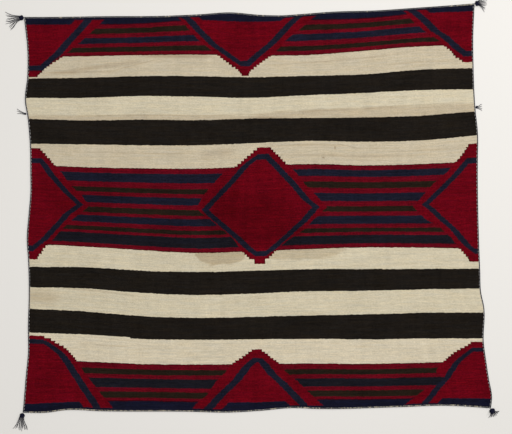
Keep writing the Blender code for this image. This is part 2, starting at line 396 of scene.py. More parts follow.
MIDDLE_BAND = CrimsonBand(
    low=530,
    high=980,
    stripes_low=592,
    stripes_high=900,
    step_rise=9.5,
    line_rise=20.0,
    stripes=(
        Stripe(Yarn.INDIGO, (0.065, 0.175), (0.060, 0.140)),
        Stripe(Yarn.BROWN, (0.245, 0.303), (0.206, 0.279)),
        Stripe(Yarn.INDIGO, (0.350, 0.437), (0.340, 0.437)),
        Stripe(Yarn.BROWN, (0.492, 0.560), (0.498, 0.563)),
        Stripe(Yarn.INDIGO, (0.600, 0.683), (0.614, 0.710)),
        Stripe(Yarn.BROWN, (0.736, 0.786), (0.760, 0.808)),
        Stripe(Yarn.SLATE, (0.820, 0.945), (0.846, 0.948)),
    ),
    flanks=(
        Flank(
            ((540, 27), (553, 35), (585, 63), (596, 74), (624, 100), (665, 131), (701, 165),
             (750, 217),
             (788, 189), (821, 151), (870, 114), (910, 81), (937, 58), (958, 40), (970, 27)),
            ((568, 14), (611, 71), (668, 116), (718, 153), (753, 195), (798, 144), (861, 88),
             (914, 51), (930, 36)),
            26, False,
        ),
        Flank(
            ((543, 835), (557, 835), (560, 822), (595, 790), (636, 765), (675, 719), (713, 673),
             (753, 618),
             (797, 639), (839, 677), (882, 718), (898, 760), (970, 850)),
            ((572, 841), (602, 805), (644, 761), (712, 680), (749, 637), (785, 671), (855, 743),
             (904, 788), (946, 849)),
            28, True,
        ),
        Flank(
            ((543, 876), (557, 876), (560, 888), (594, 920), (628, 965), (662, 1021),
             (697, 1057), (743, 1108),
             (770, 1082), (825, 1026), (869, 992), (903, 955), (970, 891)),
            ((570, 878), (601, 924), (666, 1002), (698, 1039), (744, 1081), (770, 1045),
             (844, 981), (944, 887)),
            29, False,
        ),
        Flank(
            ((541, 1636), (558, 1627), (595, 1595), (625, 1574), (665, 1531), (698, 1475),
             (744, 1428),
             (786, 1468), (826, 1506), (871, 1563), (908, 1596), (931, 1618), (956, 1636)),
            ((572, 1656), (604, 1614), (658, 1568), (690, 1531), (735, 1483), (750, 1461),
             (793, 1510),
             (856, 1578), (880, 1600), (912, 1630)),
            27, True,
        ),
    ),
)

BOTTOM_BAND = CrimsonBand(
    low=-8,
    high=262,
    stripes_low=30,
    stripes_high=170,
    step_rise=8.0,
    line_rise=15.0,
    stripes=(
        Stripe(Yarn.BROWN, (0.15, 0.29), (0.155, 0.296)),
        Stripe(Yarn.SLATE, (0.40, 0.64), (0.408, 0.634)),
        Stripe(Yarn.BROWN, (0.75, 0.91), (0.746, 0.915)),
    ),
    flanks=(
        Flank(
            ((-8, 333), (54, 272), (95, 238), (137, 202), (164, 181), (192, 158), (219, 128),
             (245, 77), (255, 47)),
            ((-8, 286), (39, 251), (109, 200), (171, 152), (193, 132), (215, 102), (232, 76),
             (245, 47)),
            29, False,
        ),
        Flank(
            ((-8, 588), (27, 617), (57, 652), (102, 682), (137, 715), (168, 738), (225, 824)),
            ((-8, 627), (21, 654), (53, 681), (87, 718), (113, 745), (164, 784), (191, 818)),
            33, True,
        ),
        Flank(
            ((-8, 1086), (25, 1051), (57, 1019), (100, 983), (141, 937), (171, 916), (225, 849)),
            ((-8, 1030), (43, 986), (102, 936), (132, 904), (170, 876), (191, 855)),
            32, False,
        ),
        Flank(
            ((-8, 1349), (20, 1377), (56, 1421), (72, 1445), (80, 1500), (118, 1512),
             (126, 1487), (140, 1487),
             (170, 1513), (206, 1559), (237, 1615), (247, 1627)),
            ((-8, 1412), (28, 1434), (59, 1457), (109, 1509), (162, 1548), (188, 1577),
             (225, 1629)),
            25, True,
        ),
    ),
)

CRIMSON_BANDS = (BOTTOM_BAND, MIDDLE_BAND, TOP_BAND)
STRIPE_YARNS = (Yarn.BROWN, Yarn.INDIGO, Yarn.SLATE)


@dataclass(frozen=True)
class Patch:
    """A soft oval where the cloth is stained, worn or woven of a darker fleece, in mm.

    lean is how far it climbs for each millimetre across, soft the share of its radius over which
    it fades, and tint what it multiplies the wool by.
    """

    weft: float
    warp: float
    half_width: float
    half_height: float
    lean: float
    soft: float
    strength: float
    tint: str


STAIN = "#e2dbd3"
STREAK = "#d9cfc5"
SHADE = "#e8e2de"
WEAR = "#dccfd2"

CREAM_PATCHES = (
    # The stain round the lower tip of the middle diamond, in two lobes.
    Patch(715, 604, 98, 64, 0.0, 0.14, 1.0, STAIN),
    Patch(1010, 612, 185, 60, 0.0, 0.16, 0.7, STAIN),
    # Darker fleece along the lower side of the second cream band.
    Patch(1480, 1074, 720, 44, 0.0, 0.35, 0.95, SHADE),
    Patch(1290, 1108, 330, 7, 0.02, 0.9, 0.35, STREAK),
    Patch(400, 1074, 620, 21, 0.0, 0.4, 0.9, SHADE),
    Patch(430, 1093, 560, 4, 0.0, 0.9, 0.7, STREAK),
    # Streaks in the topmost cream band.
    Patch(250, 1272, 220, 14, 0.12, 0.9, 0.45, STREAK),
    Patch(560, 1311, 170, 11, 0.0, 0.9, 0.75, STREAK),
    Patch(400, 1279, 120, 3, 0.24, 0.9, 0.5, STREAK),
    Patch(180, 1256, 160, 6, 0.0, 0.9, 0.4, STREAK),
    Patch(1150, 1290, 340, 5, 0.03, 0.9, 0.35, STREAK),
    Patch(1500, 1262, 200, 5, 0.0, 0.9, 0.3, STREAK),
    # Streaks in the third cream band.
    Patch(360, 957, 300, 4, 0.0, 0.9, 0.3, STREAK),
    Patch(695, 955, 75, 22, 0.06, 0.9, 0.35, STREAK),
    Patch(1030, 973, 210, 5, 0.0, 0.9, 0.4, STREAK),
    Patch(1195, 968, 60, 3, -0.2, 0.9, 0.5, STREAK),
    Patch(1230, 934, 320, 8, 0.0, 0.9, 0.4, STREAK),
    Patch(1138, 962, 4, 10, 0.0, 0.9, 0.9, STREAK),
    Patch(1095, 925, 6, 4, 0.0, 0.9, 1.0, STREAK),
    Patch(1470, 950, 200, 5, 0.0, 0.9, 0.3, STREAK),
    # Streaks in the fifth and the lowest cream band.
    Patch(40, 400, 90, 44, 0.0, 0.9, 0.5, STREAK),
    Patch(250, 430, 190, 6, -0.03, 0.9, 0.4, STREAK),
    Patch(300, 232, 90, 4, 0.0, 0.9, 0.4, STREAK),
)

# The middle diamond's darker heart, and a darker stretch of the left diamond.
DYED_PATCHES = (
    Patch(800, 730, 210, 150, 0.0, 1.0, 1.0, WEAR),
    Patch(900, 655, 170, 60, 0.1, 1.0, 0.6, WEAR),
    Patch(700, 790, 90, 90, 0.0, 1.0, 0.5, WEAR),
    Patch(200, 740, 200, 180, 0.0, 1.0, 0.5, WEAR),
)


@dataclass(frozen=True)
class Cloud:
    """A layer of unevenness: its size across and up the cloth in mm, its detail and its share."""

    width: float
    height: float
    detail: float
    share: float


# Broad clouds, long and short streaks along the wefts, single threads, and faint upright ones
# where the warps were tighter.
UNEVEN = (
    Cloud(150.0, 60.0, 3.0, 0.20),
    Cloud(190.0, 5.0, 4.0, 0.36),
    Cloud(30.0, 4.4, 3.0, 0.40),
    Cloud(6.0, 4.2, 1.0, 0.42),
    Cloud(22.0, 150.0, 2.0, 0.16),
)


@dataclass(frozen=True)
class WoolFinish:
    """How wool takes the light: matt, with a faint bloom of loose fibres."""

    roughness: float = 0.92
    specular: float = 0.03
    sheen: float = 0.0
    sheen_roughness: float = 0.55

    def shade(
        self,
        material: bpy.types.Material,
        colour: bpy.types.NodeSocket,
        height: bpy.types.NodeSocket,
        relief: float,
    ) -> None:
        """Joins a colour and a relief to the material's surface.

        Args:
            material: the material, with an empty node tree.
            colour: the wool's colour.
            height: the relief, from 0 to 1.
            relief: the real height of the relief, in metres.
        """
        tree = material.node_tree
        normal = add(tree, "Bump", {"Strength": 1.0, "Distance": relief, "Height": height})
        surface = add(
            tree,
            "BsdfPrincipled",
            {
                "Base Color": colour,
                "Roughness": self.roughness,
                "Specular IOR Level": self.specular,
                "Sheen Weight": self.sheen,
                "Sheen Roughness": self.sheen_roughness,
                "Normal": normal,
            },
        )
        output = tree.nodes.new("ShaderNodeOutputMaterial")
        tree.links.new(surface, output.inputs["Surface"])


def empty_material(name: str) -> bpy.types.Material:
    """Makes a material with no nodes.

    Args:
        name: what it is made of.

    Returns:
        The material.
    """
    material = bpy.data.materials.new(name)
    material.use_nodes = True
    material.node_tree.nodes.clear()
    return material


@dataclass(frozen=True)
class TapestryWool:
    """The woven pattern and the weave's relief, worked out from each point's woven place."""

    finish: WoolFinish = WoolFinish()
    warp_pitch: float = 2.7
    # Real wefts lie 0.6 mm apart, finer than the view shows, so they are drawn at 0.9 mm.
    weft_pitch: float = 0.9
    relief: float = 0.35 * MM
    edge_wander: float = 3.2
    edge_ragged: float = 2.6
    slant_wander: float = 3.0
    fine_step: float = 4.0
    column_middle: float = 855.0
    field_border: float = 34.0
    # A pulse's sides and the ends of a flank are steep: these are their runs, as shares of a band.
    pulse_run: float = 0.003
    tip_run: float = 0.0005
    # Green light, in linear shares, by which cream wool is told from dyed wool.
    dyed_green: float = 0.1
    cream_green: float = 0.4
    patch_green: float = 0.3
    over_cream: float = 0.15
    least_shade: float = 0.2
    hue_size: tuple[float, float] = (90.0, 7.0)
    waver_size: tuple[float, float] = (70.0, 16.0)
    waver: float = 0.35
    wander_size: tuple[float, float] = (48.0, 30.0)
    ragged_size: tuple[float, float] = (11.0, 20.0)
    slant_size: tuple[float, float] = (26.0, 14.0)
    # Painted shade in the hollows of the weave and a painted highlight on its crowns, as factors on
    # the wool's colour.
    hollow_painted_shade: float = 0.80
    crown_painted_highlight: float = 1.08
    rim_rows: float = 2.6
    rim_width: float = 3.6
    rim_tint: str = "#a8a0a0"
    row_step_at: float = 372.0
    row_step_place: float = 261.0
    row_step_rise: float = 5.0
    curve_low: float = -200.0
    curve_span: float = 2100.0
    pale_contrast: float = 0.8
    dark_contrast: float = 2.3
    warm_shift: tuple[float, float, float] = (0.12, 0.0, -0.22)

    def build(self) -> bpy.types.Material:
        """Makes the material.

        Returns:
            The woven wool: crisp colour changes at single threads, streaks of uneven dye along
            the wefts, and the small beads of a weft-faced weave, with painted shade in their
            hollows and a painted highlight on their crowns.
        """
        material = empty_material("Weft-faced wool tapestry")
        tree = material.node_tree
        woven = add(tree, "UVMap", uv_map="woven")
        place = add(tree, "VectorMath", {0: woven, 1: (1 / MM, 1 / MM, 0.0)}, operation="MULTIPLY")
        weft = add(tree, "SeparateXYZ", {0: place}, out=0)
        warp = add(tree, "SeparateXYZ", {0: place}, out=1)
        thread = add(tree, "Math", {0: weft, 1: self.warp_pitch}, operation="SNAP")
        row = add(tree, "Math", {0: warp, 1: self.weft_pitch}, operation="SNAP")
        wander = self.noise(tree, thread, row, *self.wander_size, 3.0)
        row = add(
            tree, "Math", {0: wander, 1: self.edge_wander, 2: row}, operation="MULTIPLY_ADD"
        )
        ragged = self.noise(tree, thread, row, *self.ragged_size, 1.0)
        row = add(
            tree, "Math", {0: ragged, 1: self.edge_ragged, 2: row}, operation="MULTIPLY_ADD"
        )
        slant = self.noise(tree, thread, row, *self.slant_size, 2.0)
        across = add(
            tree, "Math", {0: slant, 1: self.slant_wander, 2: thread}, operation="MULTIPLY_ADD"
        )
        colour = self.banded(tree, thread, row)
        colour = self.striped(tree, thread, row, colour)
        colour = self.motifs(tree, across, row, colour)
        colour = self.uneven(tree, weft, warp, colour)
        green = add(tree, "SeparateColor", {0: colour}, out=1)
        pale = add(tree, "MapRange", {0: green, 1: self.dyed_green, 2: self.patch_green})
        dyed = add(tree, "Math", {0: 1.0, 1: pale}, operation="SUBTRACT")
        colour = self.patched(tree, weft, warp, colour, CREAM_PATCHES, pale)
        colour = self.patched(tree, weft, warp, colour, DYED_PATCHES, dyed)
        height = self.weave(tree, weft, warp)
        # Painted shade and highlight: the colour is darkened in the weave's hollows and lightened
        # on its crowns, besides the real bump.
        depth = add(
            tree, "MapRange", {0: height, 3: self.hollow_painted_shade, 4: self.crown_painted_highlight}, clamp=False
        )
        colour = add(tree, "VectorMath", {0: colour, "Scale": depth}, operation="SCALE")
        self.finish.shade(material, colour, height, self.relief)
        return material

    def noise(
        self,
        tree: bpy.types.NodeTree,
        weft: bpy.types.NodeSocket,
        warp: bpy.types.NodeSocket,
        weft_size: float,
        warp_size: float,
        detail: float,
    ) -> bpy.types.NodeSocket:
        """Adds cloudy noise that is drawn out along the wefts.

        Args:
            tree: the material's node tree.
            weft: U in millimetres.
            warp: V in millimetres.
            weft_size: the clouds' size across, in millimetres.
            warp_size: the clouds' size up the cloth, in millimetres.
            detail: how many finer layers it has.

        Returns:
            Noise about zero, mostly between -0.5 and 0.5.
        """
        across = add(tree, "Math", {0: weft, 1: weft_size}, operation="DIVIDE")
        up = add(tree, "Math", {0: warp, 1: warp_size}, operation="DIVIDE")
        place = add(tree, "CombineXYZ", {0: across, 1: up})
        cloud = add(
            tree,
            "TexNoise",
            {"Vector": place, "Scale": 1.0, "Detail": detail},
            noise_dimensions="2D",
        )
        return add(tree, "Math", {0: cloud, 1: 0.5}, operation="SUBTRACT")

    def blend(
        self,
        tree: bpy.types.NodeTree,
        share: bpy.types.NodeSocket | float,
        below: object,
        above: object,
        mode: str = "MIX",
    ) -> bpy.types.NodeSocket:
        """Lays one colour over another.

        Args:
            tree: the material's node tree.
            share: how much of the upper colour shows.
            below: the lower colour.
            above: the upper colour.
            mode: how the two are blended.

        Returns:
            The blended colour.
        """
        return add(
            tree, "Mix", {0: share, 6: below, 7: above}, out=2, data_type="RGBA", blend_type=mode
        )

    def banded(
        self, tree: bpy.types.NodeTree, weft: bpy.types.NodeSocket, warp: bpy.types.NodeSocket
    ) -> bpy.types.NodeSocket:
        """Colours the broad bands.

        Each band's wool covers all above its lower edge, so the bands are laid from the bottom up.
        On the left, one edge is a few rows higher, where a weft ends inside the cloth.

        Args:
            tree: the material's node tree.
            weft: U in millimetres.
            warp: V in millimetres.

        Returns:
            The colour.
        """
        colour = linear(BANDS[0].yarn.value)
        left = add(tree, "Math", {0: weft, 1: self.row_step_at}, operation="LESS_THAN")
        for below, above in zip(BANDS, BANDS[1:]):
            edge = below.upper
            if edge == self.row_step_place:
                edge = add(
                    tree,
                    "Math",
                    {0: left, 1: self.row_step_rise, 2: edge},
                    operation="MULTIPLY_ADD",
                )
            past = add(tree, "Math", {0: warp, 1: edge}, operation="GREATER_THAN")
            colour = self.blend(tree, past, colour, linear(above.yarn.value))
        return colour

    def curve(
        self, node: bpy.types.Node, channel: int, points: Iterable[tuple[float, float]]
    ) -> None:
        """Sets one channel of a curves node to straight runs between points.

        Args:
            node: the curves node.
            channel: 0, 1 or 2.
            points: pairs of input and output from 0 to 1, ascending.
        """
        points = list(points)
        line = node.mapping.curves[channel]
        line.points[0].location = points[0]
        line.points[1].location = points[-1]
        for point in points[1:-1]:
            line.points.new(*point)
        for point in line.points:
            point.handle_type = "VECTOR"

    def stripe_pulses(
        self, stripes: Sequence[Stripe], yarn: Yarn, right: bool
    ) -> list[tuple[float, float]]:
        """Draws the stripes of one wool as pulses along a band.

        Args:
            stripes: the band's stripes from its top.
            yarn: the wool.
            right: whether it is the right half of the cloth.

        Returns:
            Points of a curve that is 1 on the stripes and 0 elsewhere, with steep sides.
        """
        run = self.pulse_run
        points = [(0.0, 0.0)]
        for stripe in stripes:
            if stripe.yarn is yarn:
                start, end = stripe.right if right else stripe.left
                points += [(start - run, 0.0), (start + run, 1.0)]
                points += [(end - run, 1.0), (end + run, 0.0)]
        return points + [(1.0, 0.0)]

    def striped(
        self,
        tree: bpy.types.NodeTree,
        weft: bpy.types.NodeSocket,
        warp: bpy.types.NodeSocket,
        colour: bpy.types.NodeSocket,
    ) -> bpy.types.NodeSocket:
        """Lays the thin stripes and the indigo end bands over the crimson bands.

        The few rows of crimson beside the next band are darker.

        Args:
            tree: the material's node tree.
            weft: U in millimetres.
            warp: V in millimetres.
            colour: the colour so far.

        Returns:
            The colour.
        """
        right = add(tree, "Math", {0: weft, 1: self.column_middle}, operation="GREATER_THAN")
        for band in CRIMSON_BANDS:
            share = add(
                tree,
                "MapRange",
                {0: warp, 1: band.stripes_high, 2: band.stripes_low, 3: 0.0, 4: 1.0},
            )
            halves = []
            for half in (False, True):
                pulses = add(tree, "RGBCurve", {1: share})
                for channel, yarn in enumerate(STRIPE_YARNS):
                    self.curve(pulses.node, channel, self.stripe_pulses(band.stripes, yarn, half))
                pulses.node.mapping.update()
                halves.append(pulses)
            pulses = self.blend(tree, right, *halves)
            for channel, yarn in enumerate(STRIPE_YARNS):
                pulse = add(tree, "SeparateColor", {0: pulses}, out=channel)
                shown = add(tree, "Math", {0: pulse, 1: 0.5}, operation="GREATER_THAN")
                colour = self.blend(tree, shown, colour, linear(yarn.value))
            rim = add(tree, "Math", {0: share, 1: 0.5}, operation="SUBTRACT")
            rim = add(tree, "Math", {0: rim}, operation="ABSOLUTE")
            height = band.stripes_high - band.stripes_low
            inner = 0.5 - self.rim_rows / height
            rim = add(tree, "Math", {0: rim, 1: inner}, operation="GREATER_THAN")
            above = add(tree, "Math", {0: warp, 1: band.stripes_low}, operation="GREATER_THAN")
            below = add(tree, "Math", {0: warp, 1: band.stripes_high}, operation="LESS_THAN")
            rim = add(tree, "Math", {0: rim, 1: above}, operation="MULTIPLY")
            rim = add(tree, "Math", {0: rim, 1: below}, operation="MULTIPLY")
            colour = self.blend(tree, rim, colour, linear(self.rim_tint), mode="MULTIPLY")
        return self.blend(tree, self.end_bands(tree, warp), colour, linear(Yarn.NAVY.value))

    def end_bands(
        self, tree: bpy.types.NodeTree, warp: bpy.types.NodeSocket
    ) -> bpy.types.NodeSocket:
        """Marks the two indigo end bands.

        Args:
            tree: the material's node tree.
            warp: V in millimetres.

        Returns:
            1 in the bands and 0 elsewhere.
        """
        low = add(tree, "Math", {0: warp, 1: END_BAND_LOW}, operation="LESS_THAN")
        high = add(tree, "Math", {0: warp, 1: END_BAND_HIGH}, operation="GREATER_THAN")
        return add(tree, "Math", {0: low, 1: high}, operation="MAXIMUM")

    def flank_points(
        self, band: CrimsonBand, flank: Flank, line: Sequence[tuple[float, float]]
    ) -> list[tuple[float, float]]:
        """Turns a flank's table into points of a curve over the band.

        Past its ends the flank is put far outside the cloth, so that no motif shows there.

        Args:
            band: the crimson band.
            flank: the flank.
            line: its pairs of V and U.

        Returns:
            Points of the curve, with both numbers from 0 to 1.
        """
        absent = 1.0 if flank.inside_right else 0.0
        sharp = self.tip_run
        points = [
            ((warp - band.low) / (band.high - band.low), (weft - self.curve_low) / self.curve_span)
            for warp, weft in line
        ]
        if points[0][0] > sharp:
            points = [(0.0, absent), (points[0][0] - sharp, absent)] + points
        if points[-1][0] < 1 - sharp:
            points = points + [(points[-1][0] + sharp, absent), (1.0, absent)]
        return points

    def inner_line(self, band: CrimsonBand, flank: Flank) -> list[tuple[float, float]]:
        """Shifts a flank's outline inwards to its other edge.

        It is shifted by its width across, and cut off where the outline runs level at a tip.

        Args:
            band: the crimson band.
            flank: the flank.

        Returns:
            Pairs of V and U.
        """
        warps = [warp for warp, _ in flank.line]
        shift = flank.line_width if flank.inside_right else -flank.line_width
        wefts = [weft + shift for _, weft in flank.line]
        low = warps[0] + (band.line_rise if warps[0] > band.low else 0.0)
        high = warps[-1] - (band.line_rise if warps[-1] < band.high else 0.0)
        kept = [low] + [warp for warp in warps if low < warp < high] + [high]
        return [(warp, float(np.interp(warp, warps, wefts))) for warp in kept]

    def motifs(
        self,
        tree: bpy.types.NodeTree,
        weft: bpy.types.NodeSocket,
        warp: bpy.types.NodeSocket,
        colour: bpy.types.NodeSocket,
    ) -> bpy.types.NodeSocket:
        """Lays the nine motifs over the bands.

        For each crimson band and flank, three curves of V give U at the end of the crimson border
        and at the outer and inner edge of the indigo outline. V is taken in coarse steps where a
        motif meets a cream band, and in fine ones elsewhere. The distance to the nearest motif is
        the least over its flanks, and is below zero inside. A motif's rim is darker over cream.

        Args:
            tree: the material's node tree.
            weft: U in millimetres.
            warp: V in millimetres.
            colour: the colour so far.

        Returns:
            The colour.
        """
        fine = add(tree, "Math", {0: warp, 1: self.fine_step}, operation="SNAP")
        fine = add(tree, "Math", {0: fine, 1: self.fine_step / 2}, operation="ADD")
        chosen: list[bpy.types.NodeSocket] = []
        for band in CRIMSON_BANDS:
            steps = add(tree, "Math", {0: warp, 1: band.step_rise}, operation="SNAP")
            steps = add(tree, "Math", {0: steps, 1: band.step_rise / 2}, operation="ADD")
            above = add(tree, "Math", {0: warp, 1: band.stripes_low}, operation="GREATER_THAN")
            below = add(tree, "Math", {0: warp, 1: band.stripes_high}, operation="LESS_THAN")
            if band is BOTTOM_BAND:
                inside = below
            elif band is TOP_BAND:
                inside = above
            else:
                inside = add(tree, "Math", {0: above, 1: below}, operation="MULTIPLY")
            border = add(tree, "Mix", {0: inside, 2: steps, 3: fine}, data_type="FLOAT")
            place = add(tree, "CombineXYZ", {0: border, 1: fine, 2: fine})
            share = add(
                tree,
                "VectorMath",
                {0: place, 1: (-band.low, -band.low, -band.low)},
                operation="ADD",
            )
            height = band.high - band.low
            share = add(tree, "VectorMath", {0: share, "Scale": 1 / height}, operation="SCALE")
            lines = []
            for flank in band.flanks:
                curves = add(tree, "RGBCurve", {1: share})
                self.curve(curves.node, 0, self.flank_points(band, flank, flank.border))
                self.curve(curves.node, 1, self.flank_points(band, flank, flank.line))
                inner = self.inner_line(band, flank)
                self.curve(curves.node, 2, self.flank_points(band, flank, inner))
                curves.node.mapping.extend = "HORIZONTAL"
                curves.node.mapping.update()
                lines.append(curves)
            if chosen:
                reached = add(tree, "Math", {0: warp, 1: band.low}, operation="GREATER_THAN")
                chosen = [self.blend(tree, reached, old, new) for old, new in zip(chosen, lines)]
            else:
                chosen = lines
        across = add(tree, "CombineXYZ", {0: weft, 1: weft, 2: weft})
        distances = []
        for flank, line in zip(TOP_BAND.flanks, chosen):
            low = (self.curve_low,) * 3
            line = add(tree, "VectorMath", {0: line, "Scale": self.curve_span}, operation="SCALE")
            line = add(tree, "VectorMath", {0: line, 1: low}, operation="ADD")
            first, second = (line, across) if flank.inside_right else (across, line)
            distances.append(add(tree, "VectorMath", {0: first, 1: second}, operation="SUBTRACT"))
        left, middle_left, middle_right, right = distances
        middle = add(tree, "VectorMath", {0: middle_left, 1: middle_right}, operation="MAXIMUM")
        nearest = add(tree, "VectorMath", {0: left, 1: middle}, operation="MINIMUM")
        nearest = add(tree, "VectorMath", {0: nearest, 1: right}, operation="MINIMUM")
        green = add(tree, "SeparateColor", {0: colour}, out=1)
        cream = add(tree, "Math", {0: green, 1: self.over_cream}, operation="GREATER_THAN")
        border = add(tree, "SeparateXYZ", {0: nearest})
        rim = add(tree, "Math", {0: border, 1: -self.rim_width}, operation="GREATER_THAN")
        rim = add(tree, "Math", {0: rim, 1: cream}, operation="MULTIPLY")
        tint = self.blend(tree, rim, (1.0, 1.0, 1.0, 1.0), linear(self.rim_tint))
        crimson = self.blend(tree, 1.0, linear(Yarn.CRIMSON.value), tint, mode="MULTIPLY")
        yarns = (crimson, linear(Yarn.INDIGO.value), linear(Yarn.CRIMSON.value))
        for channel, yarn in enumerate(yarns):
            distance = add(tree, "SeparateXYZ", {0: nearest}, out=channel)
            inside = add(tree, "Math", {0: distance, 1: 0.0}, operation="LESS_THAN")
            colour = self.blend(tree, inside, colour, yarn)
        deep = add(tree, "Math", {0: distance, 1: -self.field_border}, operation="LESS_THAN")
        deep = add(tree, "Math", {0: deep, 1: self.end_bands(tree, warp)}, operation="MULTIPLY")
        low = add(tree, "Math", {0: warp, 1: END_ROWS_LOW}, operation="LESS_THAN")
        high = add(tree, "Math", {0: warp, 1: END_ROWS_HIGH}, operation="GREATER_THAN")
        ends = add(tree, "Math", {0: low, 1: high}, operation="MAXIMUM")
        ends = add(tree, "Math", {0: ends, 1: deep}, operation="MAXIMUM")
        return self.blend(tree, ends, colour, linear(Yarn.NAVY.value))

    def uneven(
        self,
        tree: bpy.types.NodeTree,
        weft: bpy.types.NodeSocket,
        warp: bpy.types.NodeSocket,
        colour: bpy.types.NodeSocket,
    ) -> bpy.types.NodeSocket:
        """Makes the dye and the fleece uneven: broad clouds, streaks along the wefts, and threads.

        Args:
            tree: the material's node tree.
            weft: U in millimetres.
            warp: V in millimetres.
            colour: the colour so far.

        Returns:
            The colour.
        """
        shade: object = 1.0
        for cloud in UNEVEN:
            layer = self.noise(tree, weft, warp, cloud.width, cloud.height, cloud.detail)
            shade = add(
                tree, "Math", {0: layer, 1: cloud.share, 2: shade}, operation="MULTIPLY_ADD"
            )
        shade = add(tree, "Math", {0: shade, 1: self.least_shade}, operation="MAXIMUM")
        green = add(tree, "SeparateColor", {0: colour}, out=1)
        depth = add(
            tree,
            "MapRange",
            {
                0: green,
                1: self.dyed_green,
                2: self.cream_green,
                3: self.dark_contrast,
                4: self.pale_contrast,
            },
        )
        shade = add(tree, "Math", {0: shade, 1: depth}, operation="POWER")
        hue = self.noise(tree, weft, warp, *self.hue_size, 3.0)
        hue = add(tree, "Math", {0: hue, 1: depth}, operation="MULTIPLY")
        warmth = add(tree, "VectorMath", {0: self.warm_shift, "Scale": hue}, operation="SCALE")
        warmth = add(tree, "VectorMath", {0: warmth, 1: (1.0, 1.0, 1.0)}, operation="ADD")
        colour = add(tree, "VectorMath", {0: colour, 1: warmth}, operation="MULTIPLY")
        return add(tree, "VectorMath", {0: colour, "Scale": shade}, operation="SCALE")

    def patched(
        self,
        tree: bpy.types.NodeTree,
        weft: bpy.types.NodeSocket,
        warp: bpy.types.NodeSocket,
        colour: bpy.types.NodeSocket,
        patches: Sequence[Patch],
        shown: bpy.types.NodeSocket,
    ) -> bpy.types.NodeSocket:
        """Tints stained and darker patches. Each is an oval whose outline wavers.

        Args:
            tree: the material's node tree.
            weft: U in millimetres.
            warp: V in millimetres.
            colour: the colour so far.
            patches: the patches.
            shown: 1 where the wool takes them and 0 elsewhere.

        Returns:
            The colour.
        """
        waver = self.noise(tree, weft, warp, *self.waver_size, 3.0)
        for patch in patches:
            across = add(tree, "Math", {0: weft, 1: patch.weft}, operation="SUBTRACT")
            up = add(tree, "Math", {0: warp, 1: patch.warp}, operation="SUBTRACT")
            up = add(tree, "Math", {0: across, 1: -patch.lean, 2: up}, operation="MULTIPLY_ADD")
            up = add(tree, "Math", {0: up, 1: patch.half_height}, operation="DIVIDE")
            across = add(tree, "Math", {0: across, 1: patch.half_width}, operation="DIVIDE")
            across = add(tree, "Math", {0: across, 1: across}, operation="MULTIPLY")
            place = add(tree, "CombineXYZ", {0: across, 1: up})
            radius = add(tree, "VectorMath", {0: place}, out=1, operation="LENGTH")
            radius = add(
                tree, "Math", {0: waver, 1: self.waver, 2: radius}, operation="MULTIPLY_ADD"
            )
            share = add(
                tree,
                "MapRange",
                {0: radius, 1: 1.0, 2: 1.0 - patch.soft, 3: 0.0, 4: patch.strength},
                interpolation_type="SMOOTHSTEP",
            )
            share = add(tree, "Math", {0: share, 1: shown}, operation="MULTIPLY")
            colour = self.blend(tree, share, colour, linear(patch.tint), mode="MULTIPLY")
        return colour

    def weave(
        self, tree: bpy.types.NodeTree, weft: bpy.types.NodeSocket, warp: bpy.types.NodeSocket
    ) -> bpy.types.NodeSocket:
        """Works out the relief of a weft-faced plain weave.

        Each warp makes a rounded rib, the half wave of a sine. Along it the wefts make beads, and
        the beads of each next rib are half a weft further on.

        Args:
            tree: the material's node tree.
            weft: U in millimetres.
            warp: V in millimetres.

        Returns:
            The height, from 0 to 1.
        """
        ribs = add(tree, "Math", {0: weft, 1: self.warp_pitch}, operation="DIVIDE")
        turn = add(tree, "Math", {0: ribs, 1: math.pi}, operation="MULTIPLY")
        rib = add(tree, "Math", {0: turn}, operation="SINE")
        rib = add(tree, "Math", {0: rib}, operation="ABSOLUTE")
        number = add(tree, "Math", {0: ribs}, operation="FLOOR")
        rows = add(tree, "Math", {0: warp, 1: self.weft_pitch}, operation="DIVIDE")
        rows = add(tree, "Math", {0: number, 1: 0.5, 2: rows}, operation="MULTIPLY_ADD")
        turn = add(tree, "Math", {0: rows, 1: math.pi}, operation="MULTIPLY")
        bead = add(tree, "Math", {0: turn}, operation="SINE")
        bead = add(tree, "Math", {0: bead}, operation="ABSOLUTE")
        bead = add(tree, "Math", {0: bead, 1: 0.5}, operation="POWER")
        return add(tree, "Math", {0: rib, 1: bead}, operation="MULTIPLY")


@dataclass(frozen=True)
class TwistedWool:
    """Dyed yarn in the cords and tassels, with fine fibres that run along it."""

    name: str
    yarn: Yarn
    finish: WoolFinish = WoolFinish(sheen=0.03)
    # Fibres are finer than the view shows, so they are drawn 0.4 mm apart.
    fibre_pitch: float = 0.4
    relief: float = 0.15 * MM

    def build(self) -> bpy.types.Material:
        """Makes the material.

        Returns:
            The yarn: a dark, slightly uneven dye on a soft fibrous surface.
        """
        material = empty_material(self.name)
        tree = material.node_tree
        place = add(tree, "TexCoord", out="Object")
        cloud = add(
            tree, "TexNoise", {"Vector": place, "Scale": 1 / (6 * MM), "Detail": 2.0}
        )
        fibres = add(
            tree, "TexNoise", {"Vector": place, "Scale": 1 / (self.fibre_pitch * MM), "Detail": 1.0}
        )
        shade = add(tree, "MapRange", {0: cloud, 1: 0.3, 2: 0.7, 3: 0.7, 4: 1.35})
        colour = add(
            tree, "VectorMath", {0: linear(self.yarn.value)[:3], "Scale": shade}, operation="SCALE"
        )
        self.finish.shade(material, colour, fibres, self.relief)
        return material


